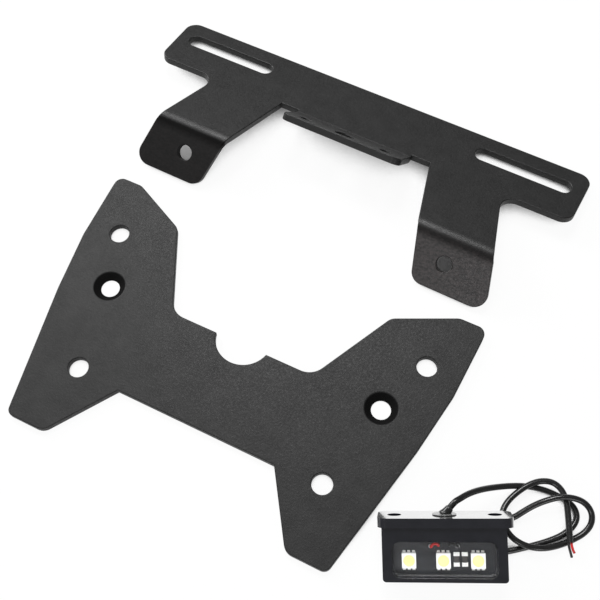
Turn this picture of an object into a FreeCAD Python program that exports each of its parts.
import FreeCAD, Part
import math
import os
import re
import Sketcher
from FreeCAD import Vector

# A motorcycle fender eliminator, laid out as a kit on a flat surface.
# A flat base plate lies nearest, a folded licence plate bracket rests behind it
# on its far edge and its two tabs, and a small three-diode light with its cord
# lies at the near right. Millimetres, +Z up.
# The origin is midway between the base plate's two countersunk holes,
# on the plate's underside.

SIZES = [
    # the base plate, a flat cut sheet, symmetric about the YZ plane
    ("plate_thick", 3.0),
    ("side_margin", 15.1),
    ("plate_far", 47.2),
    ("plate_near", 62.9),
    ("shoulder_across", 30.8),
    ("shoulder_up", 0.7),
    ("lobe_across", 48.4),
    ("lobe_up", 35.6),
    ("crown_width", 11.3),
    ("bow_up", 16.0),
    ("bow_reach", 26.0),
    ("foot_margin", 14.8),
    ("foot_width", 16.2),
    ("crotch_across", 33.5),
    ("crotch_down", 36.8),
    ("shoulder_radius", 8.0),
    ("lobe_radius", 5.0),
    ("crown_radius", 3.5),
    ("foot_radius", 3.0),
    ("notch_radius", 11.3),
    ("notch_up", 3.34),
    ("joint_pitch", 120.0),
    ("joint_hole", 7.6),
    ("sink_rim", 13.2),
    ("sink_angle", 100.0),
    ("far_pitch", 138.0),
    ("far_up", 22.8),
    ("near_pitch", 104.8),
    ("near_down", 35.4),
    ("plain_hole", 8.0),
    # the licence plate bracket, one folded sheet
    ("bracket_thick", 3.0),
    ("bar_margin", 6.3),
    ("bar_taper", 1.1),
    ("bar_depth", 29.5),
    ("bar_radius", 5.5),
    ("slot_inner", 49.6),
    ("slot_outer", 92.5),
    ("slot_back", 11.5),
    ("slot_width", 7.2),
    ("leg_inside", 24.7),
    ("leg_outside", 7.9),
    ("leg_root_radius", 6.0),
    ("leg_splay", 14.4),
    ("fold_reach", 62.8),
    ("tab_bend", 53.8),
    ("tab_length", 22.9),
    ("tab_radius", 5.5),
    ("tab_hole", 6.5),
    ("tab_hole_reach", 11.4),
    ("fold_inside", 4.0),
    ("ledge_start", 28.5),
    ("ledge_bend", 35.5),
    ("ledge_flat", 18.0),
    ("ledge_half", 27.0),
    ("ledge_radius", 4.0),
    ("ledge_hole_back", 6.8),
    ("ledge_pitch", 36.8),
    ("ledge_hole", 5.0),
    ("cable_hole", 8.6),
    # how the bracket lies behind the plate
    ("bracket_gap", 8.5),
    ("bracket_aside", 0.6),
    ("bracket_turn", -1.5),
    # the light, in its own frame: x across, y up to the flange, z out of the lens
    ("wall_beside", 3.15),
    ("wall_below", 1.35),
    ("wall_above", 4.6),
    ("body_depth", 9.5),
    ("body_radius", 1.2),
    ("body_draft", 2.5),
    ("flange_overhang", 1.9),
    ("flange_aside", 0.5),
    ("flange_thick", 3.25),
    ("flange_depth", 14.0),
    ("flange_lip", 1.0),
    ("flange_radius", 3.0),
    ("ear_inset", 5.75),
    ("ear_hole", 4.8),
    ("ear_depth", 7.2),
    ("entry_back", 6.0),
    ("window_width", 35.5),
    ("window_height", 12.3),
    ("window_radius", 3.0),
    ("lens_thick", 1.4),
    ("lens_inset", 0.1),
    ("fit_gap", 0.1),
    ("seat_ledge", 0.5),
    ("cavity_depth", 5.1),
    ("board_thick", 1.0),
    ("wire_room", 2.3),
    ("wire_room_inset", 0.5),
    ("led_gap", 6.8),
    ("led_aside", -0.35),
    ("led_low", 0.8),
    ("led_width", 4.8),
    ("led_height", 5.1),
    ("led_thick", 1.4),
    ("gel_across", 3.9),
    ("gel_deep", 0.3),
    ("contact_width", 1.0),
    ("contact_pitch", 1.6),
    ("contact_reach", 0.75),
    ("contact_thick", 0.3),
    ("resistor_pitch", 2.75),
    ("resistor_raise", 0.4),
    ("resistor_width", 1.5),
    ("resistor_length", 2.2),
    ("resistor_thick", 0.6),
    ("cap_width", 2.0),
    ("cap_length", 1.3),
    ("cap_thick", 0.75),
    ("solder_aside", 4.5),
    ("solder_down", 2.25),
    ("solder_radius", 0.75),
    ("solder_height", 0.5),
    ("solder_crown", 0.5),
    ("lead_across", 0.9),
    ("lead_hole", 1.1),
    ("lead_aside", 1.9),
    ("lead_down", 1.85),
    ("lead_start", 1.25),
    ("lead_arch", 2.0),
    ("lead_rise", 0.75),
    # how the light lies beside the plate
    ("light_across", 104.9),
    ("light_near", 49.35),
    ("light_yaw", 27.0),
    ("light_tilt", 22.8),
    ("light_lean", -6.0),
    # the cord and its collar
    ("collar_across", 8.4),
    ("collar_thick", 0.4),
    ("boss_across", 4.6),
    ("boss_reach", 3.2),
    ("boss_tip", 3.2),
    ("exit_lean", 40.0),
    ("neck_across", 4.4),
    ("neck_length", 7.0),
    ("cord_across", 2.2),
    ("cord_exit", 2.4),
    ("core_across", 0.9),
    ("core_offset", 0.5),
]
NAMES = {name for name, number in SIZES}

# The cord's route from just past the collar to where its two cores part.
# It runs right, turns back, loops out of sight behind the light, makes a second
# wider turn over itself, loops back again and ends lying over the other turns.
ROUTE = [
    (98.5, -22.2, 14.4),
    (100.3, -19.1, 12.6),
    (102.9, -15.8, 10.3),
    (106.2, -12.6, 7.9),
    (109.9, -9.6, 5.7),
    (113.9, -6.8, 3.9),
    (118.2, -4.4, 2.5),
    (122.8, -2.8, 1.6),
    (127.5, -2.1, 1.1),
    (132.3, -2.4, 1.1),
    (136.5, -3.3, 1.1),
    (139.0, -6.7, 1.1),
    (138.3, -11.1, 1.1),
    (135.7, -15.3, 1.1),
    (132.3, -18.9, 1.1),
    (128.7, -22.1, 1.1),
    (125.0, -25.1, 1.1),
    (121.2, -28.1, 1.1),
    (117.0, -30.8, 1.1),
    (112.0, -31.8, 1.1),
    (107.2, -30.2, 1.1),
    (104.8, -26.0, 1.1),
    (106.2, -21.7, 1.1),
    (110.4, -19.7, 1.1),
    (114.9, -19.2, 1.4),
    (118.4, -17.0, 2.2),
    (120.8, -13.4, 3.0),
    (123.3, -10.0, 3.9),
    (126.5, -6.8, 5.0),
    (130.2, -3.9, 5.7),
    (134.5, -2.0, 5.7),
    (138.9, -1.4, 4.6),
    (142.5, -3.1, 3.1),
    (144.0, -6.8, 1.8),
    (142.7, -11.0, 1.2),
    (139.7, -14.9, 1.1),
    (136.3, -18.6, 1.6),
    (132.4, -21.9, 2.9),
    (128.4, -23.9, 3.6),
    (124.1, -24.6, 3.7),
    (119.7, -23.8, 3.8),
    (115.8, -20.9, 3.8),
    (113.9, -16.6, 3.6),
    (114.6, -12.1, 3.4),
    (116.5, -7.9, 3.5),
    (119.0, -3.9, 3.5),
    (122.4, -0.5, 3.4),
    (126.7, 1.1, 3.4),
    (130.8, -0.4, 3.4),
    (133.6, -4.2, 3.4),
    (135.5, -8.5, 3.4),
    (137.3, -12.7, 3.4),
    (139.0, -16.8, 3.4),
]
# Where each bare core goes after the sheath's end, as steps from that end.
BLACK_CORE = [(1.0, -1.8, -0.3), (1.9, -2.8, -0.8), (2.8, -3.8, -1.5)]
RED_CORE = [(0.9, -1.6, 0.0), (1.4, -2.2, -0.2), (2.1, -2.6, -0.6)]

doc = FreeCAD.newDocument("FenderEliminator")
sheet = doc.addObject("Spreadsheet::Sheet", "Sizes")
for row, (name, number) in enumerate(SIZES, start=1):
    sheet.set("A%d" % row, name.replace("_", " "))
    sheet.set("B%d" % row, str(number))
    sheet.setAlias("B%d" % row, name)
doc.recompute()


def bound(formula):
    """The formula with each size's name pointing into the sheet."""
    def link(word):
        name = word.group(0)
        return "Sizes." + name if name in NAMES else name
    return re.sub(r"[a-z_]+", link, formula)


def value(formula):
    """What a formula of named sizes comes to."""
    return float(sheet.evalExpression(bound(formula)))


# Sketch helpers

def new_body(label, place=None):
    body = doc.addObject("PartDesign::Body", label)
    body.Label = label
    if place:
        body.setExpression("Placement", bound(place))
    return body


def new_sketch(body, name, plane="XY_Plane", offset=None):
    """A sketch on one of the body's own planes, shifted or turned from it."""
    sketch = body.newObject("Sketcher::SketchObject", name)
    support = next(item for item in body.Origin.OriginFeatures if item.Role == plane)
    sketch.AttachmentSupport = [(support, "")]
    sketch.MapMode = "FlatFace"
    if offset:
        sketch.setExpression("AttachmentOffset", bound(offset))
    return sketch


def raised(height):
    """An offset along the sketch plane's normal."""
    return "placement(vector(0; 0; %s); rotation(vector(1; 0; 0); 0))" % height


def bind(sketch, constraint, formula):
    index = sketch.addConstraint(constraint)
    sketch.setExpression("Constraints[%d]" % index, bound(formula))


def pin(sketch, item, point, across, up):
    """Hold a point of the sketch at formulas for its two coordinates."""
    for kind, axis, formula in (("DistanceX", -2, across), ("DistanceY", -1, up)):
        if formula == "0":
            sketch.addConstraint(Sketcher.Constraint("PointOnObject", item, point, axis))
        else:
            fixed = Sketcher.Constraint(kind, -1, 1, item, point, value(formula))
            bind(sketch, fixed, formula)


def outline(sketch, corners):
    """A closed outline of straight lines, each corner (across, up, radius or None)."""
    count = len(corners)
    spots = [Vector(value(across), value(up), 0) for across, up, radius in corners]
    radii = [value(radius) if radius else 0.0 for across, up, radius in corners]
    arrive, leave, middle = [], [], []
    for k in range(count):
        back = (spots[k - 1] - spots[k]).normalize()
        ahead = (spots[(k + 1) % count] - spots[k]).normalize()
        half = back.getAngle(ahead) / 2
        inward = (back + ahead).normalize()
        arrive.append(spots[k] + back * (radii[k] / math.tan(half)))
        leave.append(spots[k] + ahead * (radii[k] / math.tan(half)))
        middle.append(spots[k] + inward * (radii[k] / math.sin(half) - radii[k]))
    lines = []
    for k in range(count):
        side = Part.LineSegment(leave[k], arrive[(k + 1) % count])
        lines.append(sketch.addGeometry(side, False))
    for k, (across, up, radius) in enumerate(corners):
        before, after = lines[k - 1], lines[k]
        if not radius:
            sketch.addConstraint(Sketcher.Constraint("Coincident", before, 2, after, 1))
            pin(sketch, after, 1, across, up)
            continue
        arc = sketch.addGeometry(Part.Arc(arrive[k], middle[k], leave[k]), False)
        tip = sketch.addGeometry(Part.Point(spots[k]), True)
        pin(sketch, tip, 1, across, up)
        sketch.addConstraint(Sketcher.Constraint("PointOnObject", tip, 1, before))
        sketch.addConstraint(Sketcher.Constraint("PointOnObject", tip, 1, after))
        forward = sketch.getPoint(arc, 1).distanceToPoint(arrive[k]) < radii[k] * 1e-3
        first, last = (1, 2) if forward else (2, 1)
        sketch.addConstraint(Sketcher.Constraint("Tangent", before, 2, arc, first))
        sketch.addConstraint(Sketcher.Constraint("Tangent", arc, last, after, 1))
        bind(sketch, Sketcher.Constraint("Radius", arc, radii[k]), radius)


def rectangle(sketch, left, right, bottom, top, radius=None):
    corners = [(left, bottom), (right, bottom), (right, top), (left, top)]
    outline(sketch, [(across, up, radius) for across, up in corners])


def circle(sketch, across, up, radius):
    middle = Vector(value(across), value(up), 0)
    ring = sketch.addGeometry(Part.Circle(middle, Vector(0, 0, 1), value(radius)), False)
    bind(sketch, Sketcher.Constraint("Radius", ring, value(radius)), radius)
    pin(sketch, ring, 3, across, up)


def pad(body, name, sketch, length, taper=None, turned=False):
    """Raise a sketch's shape along its plane's normal, or against it if turned."""
    feature = body.newObject("PartDesign::Pad", name)
    feature.Profile = sketch
    feature.Reversed = turned
    feature.setExpression("Length", bound(length))
    if taper:
        feature.setExpression("TaperAngle", bound(taper))
    doc.recompute()
    return feature


def pocket(body, name, sketch, length, taper=None, turned=False):
    """Cut a sketch's shape against its plane's normal, or along it if turned."""
    before = body.Shape.Volume
    feature = body.newObject("PartDesign::Pocket", name)
    feature.Profile = sketch
    feature.Reversed = turned
    feature.setExpression("Length", bound(length))
    if taper:
        feature.setExpression("TaperAngle", bound(taper))
    doc.recompute()
    if body.Shape.Volume >= before:
        raise RuntimeError(name + " cuts nothing")
    return feature


def fillet(body, name, radius, spots):
    """Round the edges whose middles lie nearest to the given spots."""
    base = body.Tip
    edges = base.Shape.Edges
    chosen = []
    for spot in spots:
        near = min(range(len(edges)), key=lambda k: edges[k].CenterOfMass.distanceToPoint(spot))
        chosen.append("Edge%d" % (near + 1))
    feature = body.newObject("PartDesign::Fillet", name)
    feature.Base = (base, sorted(set(chosen)))
    feature.setExpression("Radius", bound(radius))
    doc.recompute()
    return feature


def spin(body, name, profile):
    """Turn a half profile all the way round the sketch's upright axis."""
    feature = body.newObject("PartDesign::Revolution", name)
    feature.Profile = profile
    feature.ReferenceAxis = (profile, ["V_Axis"])
    feature.Angle = 360
    doc.recompute()


def mirrored(corners):
    """The right-hand corners, then their mirror images back to the start."""
    left = [("-(%s)" % across, up, radius) for across, up, radius in reversed(corners)]
    return corners + left


# Base plate

PLATE_HALF = "(far_pitch / 2 + side_margin)"
FOOT_OUTER = "(near_pitch / 2 + foot_margin)"
SIDE_TURN = "atan((%s - %s) / (bow_up + plate_near))" % (PLATE_HALF, FOOT_OUTER)
BOW_ROOM = "min(bow_reach; plate_far - bow_up - 1.4 * crown_radius)"
BOW_RADIUS = "%s / tan(%s / 2)" % (BOW_ROOM, SIDE_TURN)


def base_plate():
    """The flat plate: two lobes far side, two feet near side, six holes, one notch."""
    body = new_body("base_plate")
    shape = new_sketch(body, "plate_outline")
    outline(shape, mirrored([
        ("shoulder_across", "shoulder_up", "shoulder_radius"),
        ("lobe_across", "lobe_up", "lobe_radius"),
        (PLATE_HALF + " - crown_width", "plate_far", "lobe_radius"),
        (PLATE_HALF, "plate_far", "crown_radius"),
        (PLATE_HALF, "bow_up", BOW_RADIUS),
        (FOOT_OUTER, "-plate_near", "foot_radius"),
        (FOOT_OUTER + " - foot_width", "-plate_near", "lobe_radius"),
        ("crotch_across", "-crotch_down", None),
    ]))
    pad(body, "plate_sheet", shape, "plate_thick")
    notch = new_sketch(body, "notch_circle", offset=raised("plate_thick"))
    circle(notch, "0", "notch_up", "notch_radius")
    pocket(body, "notch", notch, "plate_thick")
    holes = new_sketch(body, "plain_hole_circles", offset=raised("plate_thick"))
    for side in ("", "-"):
        circle(holes, side + "far_pitch / 2", "far_up", "plain_hole / 2")
        circle(holes, side + "near_pitch / 2", "-near_down", "plain_hole / 2")
    pocket(body, "plain_holes", holes, "plate_thick")
    joints = new_sketch(body, "joint_hole_circles", offset=raised("plate_thick"))
    sinks = new_sketch(body, "countersink_circles", offset=raised("plate_thick"))
    for side in ("", "-"):
        circle(joints, side + "joint_pitch / 2", "0", "joint_hole / 2")
        circle(sinks, side + "joint_pitch / 2", "0", "sink_rim / 2")
    pocket(body, "joint_holes", joints, "plate_thick")
    depth = "(sink_rim - joint_hole) / 2 / tan(sink_angle / 2)"
    pocket(body, "countersinks", sinks, depth, taper="-sink_angle / 2")
    return body


# Licence plate bracket, drawn flat at z = 0 on top with its far edge at y = 0

BAR_HALF = "(slot_outer + bar_margin)"
LEG_INNER = "(joint_pitch / 2 - leg_inside)"
LEG_OUTER = "(joint_pitch / 2 + leg_outside)"
FOLD_OUTSIDE = "(fold_inside + bracket_thick)"
TAB_END = "(fold_reach + tab_length * cos(tab_bend))"
TAB_DROP = "(tab_length * sin(tab_bend))"
REST_TILT = ("atan((%s + bracket_thick * cos(tab_bend) - bracket_thick)"
             " / (%s - bracket_thick * sin(tab_bend)))") % (TAB_DROP, TAB_END)
LEDGE_TOP = "(ledge_start + fold_inside * tan(ledge_bend / 2))"
LEDGE_UNDER = "(ledge_start + %s * tan(ledge_bend / 2))" % FOLD_OUTSIDE
LEDGE_LENGTH = "(fold_inside * tan(ledge_bend / 2) + ledge_flat)"
LEDGE_END = "(%s + %s * cos(ledge_bend))" % (LEDGE_TOP, LEDGE_LENGTH)
LEDGE_RISE = "(%s * sin(ledge_bend))" % LEDGE_LENGTH
BRACKET_PLACE = (
    "placement(vector(bracket_aside;"
    " plate_far + bracket_gap + {end} * cos({tilt}) + {drop} * sin({tilt});"
    " bracket_thick * cos({tilt}));"
    " rotation(vector(0; 0; 1); bracket_turn) * rotation(vector(1; 0; 0); -{tilt}))"
).format(end=TAB_END, drop=TAB_DROP, tilt=REST_TILT)


def leg_edge(root, start, reach):
    """How far across a leg's edge lies at a reach measured along the sheet."""
    return "(%s + tan(leg_splay) * (%s - %s))" % (root, reach, start)


def bracket_sheet(body):
    """The bar, legs and tabs as one bent strip, then cut to the flat outline."""
    side = new_sketch(body, "strip_profile", "YZ_Plane", raised("-" + BAR_HALF))
    outline(side, [
        ("0", "0", None),
        ("0", "-bracket_thick", None),
        ("-fold_reach + bracket_thick * tan(tab_bend / 2)", "-bracket_thick", "fold_inside"),
        ("-%s + bracket_thick * sin(tab_bend)" % TAB_END,
         "-%s - bracket_thick * cos(tab_bend)" % TAB_DROP, None),
        ("-" + TAB_END, "-" + TAB_DROP, None),
        ("-fold_reach", "0", FOLD_OUTSIDE),
    ])
    pad(body, "bent_strip", side, "2 * " + BAR_HALF)
    plan = new_sketch(body, "strip_outline")
    beyond = "bracket_thick"
    rectangle(plan, "-%s - %s" % (BAR_HALF, beyond), "%s + %s" % (BAR_HALF, beyond),
              "-%s - %s * 3" % (TAB_END, beyond), beyond)
    tab_tip = "fold_reach + tab_length + bracket_thick * 2"
    tip_plan = "-(%s + bracket_thick * 2 * cos(tab_bend))" % TAB_END
    wrap_radius = "fold_inside * 8"
    outline(plan, mirrored([
        (BAR_HALF, "0", "bar_radius"),
        (BAR_HALF + " - bar_taper", "-bar_depth", "bar_radius"),
        (LEG_OUTER, "-bar_depth", "leg_root_radius"),
        (leg_edge(LEG_OUTER, "bar_depth", "fold_reach"), "-fold_reach", wrap_radius),
        (leg_edge(LEG_OUTER, "bar_depth", tab_tip), tip_plan, None),
        (leg_edge(LEG_INNER, "ledge_start", tab_tip), tip_plan, None),
        (leg_edge(LEG_INNER, "ledge_start", "fold_reach"), "-fold_reach", wrap_radius),
        (LEG_INNER, "-ledge_start", None),
    ]))
    drop = "%s + bracket_thick * 2" % TAB_DROP
    pocket(body, "cut_to_outline", plan, drop)


def bracket_ledge(body):
    """The short ledge between the legs, folded up, that carries the light."""
    profile = new_sketch(body, "ledge_profile", "YZ_Plane", raised("-ledge_half"))
    outline(profile, [
        ("-ledge_start / 2", "0", None),
        ("-" + LEDGE_TOP, "0", "fold_inside"),
        ("-" + LEDGE_END, LEDGE_RISE, None),
        ("-%s - bracket_thick * sin(ledge_bend)" % LEDGE_END,
         "%s - bracket_thick * cos(ledge_bend)" % LEDGE_RISE, None),
        ("-" + LEDGE_UNDER, "-bracket_thick", FOLD_OUTSIDE),
        ("-ledge_start / 2", "-bracket_thick", None),
    ])
    pad(body, "ledge", profile, "2 * ledge_half")


def end_corners(end, rise, turn, inner, outer):
    """The middles of the two short edges at the end of a folded flap."""
    down = value(end) - value("bracket_thick * sin(%s) / 2" % turn)
    up = value(rise) - value("bracket_thick * cos(%s) / 2" % turn)
    return [Vector(value(across), -down, up) for across in (inner, outer)]


def plate_bracket():
    """The folded bracket with its slots, holes and rounded corners."""
    body = new_body("plate_bracket", BRACKET_PLACE)
    bracket_sheet(body)
    bracket_ledge(body)
    tip = "fold_reach + tab_length"
    outer = leg_edge(LEG_OUTER, "bar_depth", tip)
    inner = leg_edge(LEG_INNER, "ledge_start", tip)
    spots = end_corners(TAB_END, "-" + TAB_DROP, "tab_bend", inner, outer)
    spots += [Vector(-spot.x, spot.y, spot.z) for spot in spots]
    fillet(body, "tab_corners", "tab_radius", spots)
    spots = end_corners(LEDGE_END, LEDGE_RISE, "-ledge_bend", "-ledge_half", "ledge_half")
    fillet(body, "ledge_corners", "ledge_radius", spots)
    slots = new_sketch(body, "slot_outlines")
    for side in ("", "-"):
        slot(slots, side)
    pocket(body, "slots", slots, "bracket_thick")
    tab_plane = "placement(vector(0; -fold_reach; 0); rotation(vector(1; 0; 0); tab_bend))"
    holes = new_sketch(body, "tab_hole_circles", offset=tab_plane)
    for side in ("", "-"):
        circle(holes, side + "joint_pitch / 2", "-tab_hole_reach", "tab_hole / 2")
    pocket(body, "tab_holes", holes, "bracket_thick")
    ledge_plane = "placement(vector(0; -%s; 0); rotation(vector(1; 0; 0); -ledge_bend))"
    holes = new_sketch(body, "ledge_hole_circles", offset=ledge_plane % LEDGE_TOP)
    back = "-(%s - ledge_hole_back)" % LEDGE_LENGTH
    circle(holes, "0", back, "cable_hole / 2")
    for side in ("", "-"):
        circle(holes, side + "ledge_pitch / 2", back, "ledge_hole / 2")
    pocket(body, "ledge_holes", holes, "bracket_thick")
    return body


def slot(sketch, side):
    """A slot with round ends on one side of the bar."""
    ends = ["slot_inner + slot_width / 2", "slot_outer - slot_width / 2"]
    if side:
        ends = ["-(%s)" % end for end in reversed(ends)]
    left, right = [value(end) for end in ends]
    level, round_end = value("-slot_back"), value("slot_width / 2")
    arcs = []
    for across, out in ((left, -1), (right, 1)):
        top = Vector(across, level + round_end, 0)
        tip = Vector(across + out * round_end, level, 0)
        low = Vector(across, level - round_end, 0)
        arcs.append(sketch.addGeometry(Part.Arc(top, tip, low), False))
    for arc, end in zip(arcs, ends):
        pin(sketch, arc, 3, end, "-slot_back")
        bind(sketch, Sketcher.Constraint("Radius", arc, round_end), "slot_width / 2")
    for up in (1, -1):
        start = Vector(left, level + up * round_end, 0)
        stop = Vector(right, level + up * round_end, 0)
        line = sketch.addGeometry(Part.LineSegment(start, stop), False)
        for point, arc, spot in ((1, arcs[0], start), (2, arcs[1], stop)):
            near = 1 if sketch.getPoint(arc, 1).distanceToPoint(spot) < round_end else 2
            sketch.addConstraint(Sketcher.Constraint("Tangent", line, point, arc, near))


# Light, drawn in its own frame and laid down on its back

WINDOW_UP = "(wall_below + window_height / 2)"
WINDOW_TOP = "(wall_below + window_height)"
BODY_HALF = "(window_width / 2 + wall_beside)"
BODY_HEIGHT = "(wall_below + window_height + wall_above)"
FLANGE_HALF = "(%s + flange_overhang)" % BODY_HALF
FLANGE_TOP = "(%s + flange_thick)" % BODY_HEIGHT
REST_DROP = (
    "cos(light_tilt) * (body_depth * cos(light_lean)"
    " - (" + BODY_HALF + " - body_radius) * sin(light_lean))"
    " - sin(light_tilt) * body_radius"
    " + (body_radius - body_depth * tan(body_draft))"
    " * sqrt(pow(cos(light_tilt) * sin(light_lean); 2) + pow(sin(light_tilt); 2))"
)
LIGHT_TURN = (
    "rotation(vector(0; 0; 1); light_yaw)"
    " * rotation(vector(1; 0; 0); light_tilt) * rotation(vector(0; 1; 0); light_lean)"
)
LIGHT_PLACE = "placement(vector(light_across; -light_near; %s); %s)" % (REST_DROP, LIGHT_TURN)
BOARD_BACK = "(-cavity_depth)"
BOARD_FRONT = "(board_thick - cavity_depth)"
LENS_BACK = "(-lens_thick - lens_inset)"
ROOM_BACK = "(-cavity_depth - wire_room)"
LED_UP = "(%s - led_low)" % WINDOW_UP
LED_PITCH = "(led_width + led_gap)"
SOLDER_UP = "(%s - solder_down)" % WINDOW_TOP
LEAD_UP = "(%s - lead_down)" % WINDOW_TOP


def window_frame(sketch, inset, radius):
    """A rounded rectangle set in from the window's edge by the same amount all round."""
    across = "(window_width / 2 - (%s))" % inset
    tall = "(window_height / 2 - (%s))" % inset
    low, high = "%s - %s" % (WINDOW_UP, tall), "%s + %s" % (WINDOW_UP, tall)
    rectangle(sketch, "-" + across, across, low, high, radius)


def lamp_housing():
    """The moulded housing: body, flange with two ears, window, cavity and cord entry."""
    body = new_body("lamp_housing", LIGHT_PLACE)
    block = new_sketch(body, "body_outline")
    rooted = BODY_HEIGHT + " + flange_thick / 2"
    outline(block, [
        ("-" + BODY_HALF, "0", "body_radius"),
        (BODY_HALF, "0", "body_radius"),
        (BODY_HALF, rooted, None),
        ("-" + BODY_HALF, rooted, None),
    ])
    pad(body, "body_block", block, "body_depth", turned=True, taper="-body_draft")
    flange = new_sketch(body, "flange_outline", "XZ_Plane", raised("-" + FLANGE_TOP))
    rectangle(flange, "flange_aside - " + FLANGE_HALF, "flange_aside + " + FLANGE_HALF,
              "flange_lip - flange_depth", "flange_lip", "flange_radius")
    pad(body, "flange", flange, "flange_thick")
    seat = new_sketch(body, "window_outline")
    window_frame(seat, "0", "window_radius")
    pocket(body, "lens_seat", seat, "-" + LENS_BACK)
    cavity = new_sketch(body, "cavity_outline")
    window_frame(cavity, "seat_ledge", "window_radius - seat_ledge")
    pocket(body, "cavity", cavity, "cavity_depth")
    room = new_sketch(body, "wire_room_outline")
    window_frame(room, "seat_ledge + wire_room_inset", None)
    pocket(body, "wire_room", room, "-" + ROOM_BACK)
    entry = new_sketch(body, "entry_circle", "XZ_Plane", raised("-" + FLANGE_TOP))
    circle(entry, "flange_aside", "-entry_back", "neck_across / 2")
    reach = "wall_above + flange_thick + seat_ledge + wire_room_inset"
    pocket(body, "cord_entry", entry, reach, turned=True)
    ears = new_sketch(body, "ear_circles", "XZ_Plane", raised("-" + FLANGE_TOP))
    for side in ("+", "-"):
        across = "flange_aside %s (%s - ear_inset)" % (side, FLANGE_HALF)
        circle(ears, across, "-entry_back", "ear_hole / 2")
    pocket(body, "ear_holes", ears, "ear_depth", turned=True)
    return body


def lamp_lens():
    """The clear cover, seated on the ledge inside the window."""
    body = new_body("lamp_lens", LIGHT_PLACE)
    sketch = new_sketch(body, "lens_outline", offset=raised(LENS_BACK))
    window_frame(sketch, "fit_gap", "window_radius - fit_gap")
    pad(body, "lens_sheet", sketch, "lens_thick")
    return body


def circuit_board():
    """The board that carries the diodes, on the ledge round the wire room."""
    body = new_body("circuit_board", LIGHT_PLACE)
    sketch = new_sketch(body, "board_outline", offset=raised(BOARD_BACK))
    window_frame(sketch, "seat_ledge + fit_gap", "window_radius - seat_ledge - fit_gap")
    pad(body, "board_sheet", sketch, "board_thick")
    holes = new_sketch(body, "lead_hole_circles", offset=raised(BOARD_FRONT))
    for side in ("", "-"):
        circle(holes, side + "lead_aside", LEAD_UP, "lead_hole / 2")
    pocket(body, "lead_holes", holes, "board_thick")
    return body


def diode(label, across):
    """A white diode package with its gel recess, its gel and its six contacts."""
    body = new_body("led_" + label, LIGHT_PLACE)
    sketch = new_sketch(body, "package_outline", offset=raised(BOARD_FRONT))
    rectangle(sketch, across + " - led_width / 2", across + " + led_width / 2",
              LED_UP + " - led_height / 2", LED_UP + " + led_height / 2")
    pad(body, "package", sketch, "led_thick")
    top = "(%s + led_thick)" % BOARD_FRONT
    ring = new_sketch(body, "gel_circle", offset=raised(top))
    circle(ring, across, LED_UP, "gel_across / 2")
    pocket(body, "gel_recess", ring, "gel_deep")
    gel = new_body("led_gel_" + label, LIGHT_PLACE)
    ring = new_sketch(gel, "gel_circle", offset=raised(top + " - gel_deep"))
    circle(ring, across, LED_UP, "gel_across / 2")
    pad(gel, "gel", ring, "gel_deep")
    contacts = new_body("led_contacts_" + label, LIGHT_PLACE)
    contacts.AllowCompound = True
    feet = new_sketch(contacts, "contact_outlines", offset=raised(BOARD_FRONT))
    for step in ("-contact_pitch", "0", "contact_pitch"):
        left = "%s + %s - contact_width / 2" % (across, step)
        right = "%s + %s + contact_width / 2" % (across, step)
        high, low = LED_UP + " + led_height / 2", LED_UP + " - led_height / 2"
        rectangle(feet, left, right, high, high + " + contact_reach")
        rectangle(feet, left, right, low + " - contact_reach", low)
    pad(contacts, "contacts", feet, "contact_thick")
    return [body, gel, contacts]


def resistor(label, across):
    """A chip resistor standing upright between two diodes, and its two end caps."""
    body = new_body("resistor_" + label, LIGHT_PLACE)
    sketch = new_sketch(body, "chip_outline", offset=raised(BOARD_FRONT))
    high = LED_UP + " + resistor_raise + resistor_length / 2"
    low = LED_UP + " + resistor_raise - resistor_length / 2"
    rectangle(sketch, across + " - resistor_width / 2", across + " + resistor_width / 2",
              low, high)
    pad(body, "chip", sketch, "resistor_thick")
    caps = new_body("resistor_caps_" + label, LIGHT_PLACE)
    caps.AllowCompound = True
    ends = new_sketch(caps, "cap_outlines", offset=raised(BOARD_FRONT))
    left, right = across + " - cap_width / 2", across + " + cap_width / 2"
    rectangle(ends, left, right, high, high + " + cap_length")
    rectangle(ends, left, right, low + " - cap_length", low)
    pad(caps, "caps", ends, "cap_thick")
    return [body, caps]


def solder(label, side):
    """A tapered solder joint on the board."""
    spot = "placement(vector(%ssolder_aside; %s; %s); rotation(vector(1; 0; 0); 0))"
    place = "%s * %s" % (LIGHT_PLACE, spot % (side, SOLDER_UP, BOARD_FRONT))
    body = new_body("solder_" + label, place)
    half = new_sketch(body, "joint_profile", "XZ_Plane")
    outline(half, [
        ("0", "0", None),
        ("solder_radius", "0", None),
        ("solder_crown", "solder_height", None),
        ("0", "solder_height", None),
    ])
    spin(body, "joint", half)
    return body


# Cord, leads and collar

def light_spot(across, up, out):
    """A point of the light's frame in the part's frame."""
    return lamp.Placement.multVec(Vector(value(across), value(up), value(out)))


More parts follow.
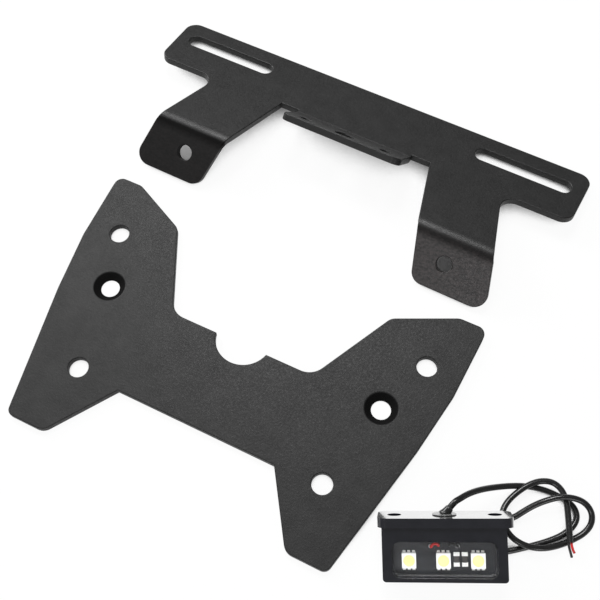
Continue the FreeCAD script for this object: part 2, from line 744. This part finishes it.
def tube(label, points, across):
    """A round tube along straight runs joined by the largest arcs that they allow."""
    spots = [Vector(*point) for point in points]
    edges, radii = [], []
    start = spots[0]
    for before, corner, after in zip(spots, spots[1:], spots[2:]):
        back, ahead = before - corner, after - corner
        reach = 0.45 * min(back.Length, ahead.Length)
        half = back.getAngle(ahead) / 2
        radii.append(reach * math.tan(half))
        arrive = corner + back.normalize() * reach
        leave = corner + ahead.normalize() * reach
        inward = (back + ahead).normalize()
        middle = corner + inward * (reach / math.cos(half) - radii[-1])
        edges.append(Part.LineSegment(start, arrive).toShape())
        edges.append(Part.Arc(arrive, middle, leave).toShape())
        start = leave
    edges.append(Part.LineSegment(start, spots[-1]).toShape())
    path = Part.Wire(edges)
    ring = Part.Wire(Part.Circle(spots[0], spots[1] - spots[0], across / 2).toShape())
    solid = path.makePipeShell([ring], True, False)
    expected = math.pi * across ** 2 / 4 * path.Length
    print("%s length %.1f, volume %.4f of section times length, smallest radii %s" % (
        label, path.Length, solid.Volume / expected,
        " ".join("%.1f" % radius for radius in sorted(radii)[:8])))
    piece = doc.addObject("Part::Feature", label)
    piece.Label = label
    piece.Shape = solid
    return piece


def cord_collar():
    """The moulded collar in the flange, with a slanted boss that the cord leaves."""
    place = "%s * placement(vector(flange_aside; %s; -entry_back); rotation(vector(1; 0; 0); 0))"
    body = new_body("cord_collar", place % (LIGHT_PLACE, FLANGE_TOP))
    slant = "placement(vector(0; 0; 0); rotation(vector(0; 0; 1); -exit_lean))"
    slope = new_sketch(body, "boss_profile", "XY_Plane", slant)
    outline(slope, [
        ("0", "-boss_across", None),
        ("boss_across / 2", "-boss_across", None),
        ("boss_across / 2", "0", None),
        ("boss_tip / 2", "boss_reach", None),
        ("0", "boss_reach", None),
    ])
    spin(body, "boss", slope)
    under = new_sketch(body, "face_circle", "XZ_Plane")
    circle(under, "0", "0", "boss_across * 2")
    pocket(body, "boss_foot", under, "boss_across * 2", turned=True)
    half = new_sketch(body, "collar_profile")
    outline(half, [
        ("0", "-neck_length", None),
        ("neck_across / 2", "-neck_length", None),
        ("neck_across / 2", "0", None),
        ("collar_across / 2", "0", None),
        ("collar_across / 2", "collar_thick", None),
        ("0", "collar_thick", None),
    ])
    spin(body, "collar_disc", half)
    return body


def lead(label, side):
    """An insulated lead from the collar's neck, through the board and down to its joint."""
    level = "-entry_back"
    neck_end = "(%s - neck_length)" % FLANGE_TOP
    apart, aside = "flange_aside %s neck_across / 6" % (side or "+"), side + "lead_aside"
    crest = "(%s + lead_arch)" % BOARD_FRONT
    half = "lead_across / 2"
    spots = [
        light_spot(apart, neck_end, level),
        light_spot(apart, neck_end + " - lead_start", level),
        light_spot(aside, LEAD_UP, "%s - %s" % (level, half)),
        light_spot(aside, LEAD_UP, "%s - %s" % (crest, half)),
        light_spot("%s + %s%s" % (aside, side, half), LEAD_UP + " + lead_rise", crest),
        light_spot(side + "(solder_aside - lead_across)", LEAD_UP + " + lead_rise", crest),
        light_spot(side + "solder_aside", SOLDER_UP, crest),
        light_spot(side + "solder_aside", SOLDER_UP, BOARD_FRONT + " + solder_height"),
    ]
    return tube(label, spots, value("lead_across"))


plate = base_plate()
bracket = plate_bracket()
lamp = lamp_housing()
pieces = [plate, bracket, lamp, lamp_lens(), circuit_board()]
for label, step in (("left", "-" + LED_PITCH), ("middle", "0"), ("right", LED_PITCH)):
    pieces += diode(label, "led_aside + " + step)
for label, side in (("left", "-"), ("right", "+")):
    across = "led_aside + %s / 2 %s resistor_pitch / 2" % (LED_PITCH, side)
    pieces += resistor(label, across)
pieces += [solder("left", "-"), solder("right", "")]
pieces.append(cord_collar())

pieces += [lead("red_lead", "-"), lead("black_lead", "")]

exit_spot = light_spot("flange_aside + boss_reach * sin(exit_lean)",
                       FLANGE_TOP + " + boss_reach * cos(exit_lean)", "-entry_back")
lean = math.radians(value("exit_lean"))
exit_way = lamp.Placement.Rotation.multVec(Vector(math.sin(lean), math.cos(lean), 0))
cord_points = [exit_spot, exit_spot + exit_way * value("cord_exit")] + ROUTE
pieces.append(tube("cord_sheath", cord_points, value("cord_across")))
sheath_end = Vector(*ROUTE[-1])
last_way = (sheath_end - Vector(*ROUTE[-2])).normalize()
sideways = last_way.cross(Vector(0, 0, 1)).normalize() * value("core_offset")
for label, steps, side in (("black_core", BLACK_CORE, 1), ("red_core", RED_CORE, -1)):
    root = sheath_end + sideways * side
    straight = root + last_way * value("core_across")
    pieces.append(tube(label, [root, straight] + [root + Vector(*step) for step in steps],
                       value("core_across")))
doc.recompute()

for item in doc.Objects:
    if "Invalid" in item.State or "Error" in item.State:
        raise RuntimeError("%s has state %s" % (item.Label, item.State))
for piece in pieces:
    if piece.Shape.isNull() or not piece.Shape.isValid():
        raise RuntimeError(piece.Label + " has no valid shape")
os.makedirs("parts", exist_ok=True)
for piece in pieces:
    piece.Shape.exportStep("parts/%s.step" % piece.Label)
    box = piece.Shape.BoundBox
    print("%s: %d solids, volume %.1f, x %.1f to %.1f, y %.1f to %.1f, z %.1f to %.1f" % (
        piece.Label, len(piece.Shape.Solids), piece.Shape.Volume,
        box.XMin, box.XMax, box.YMin, box.YMax, box.ZMin, box.ZMax))
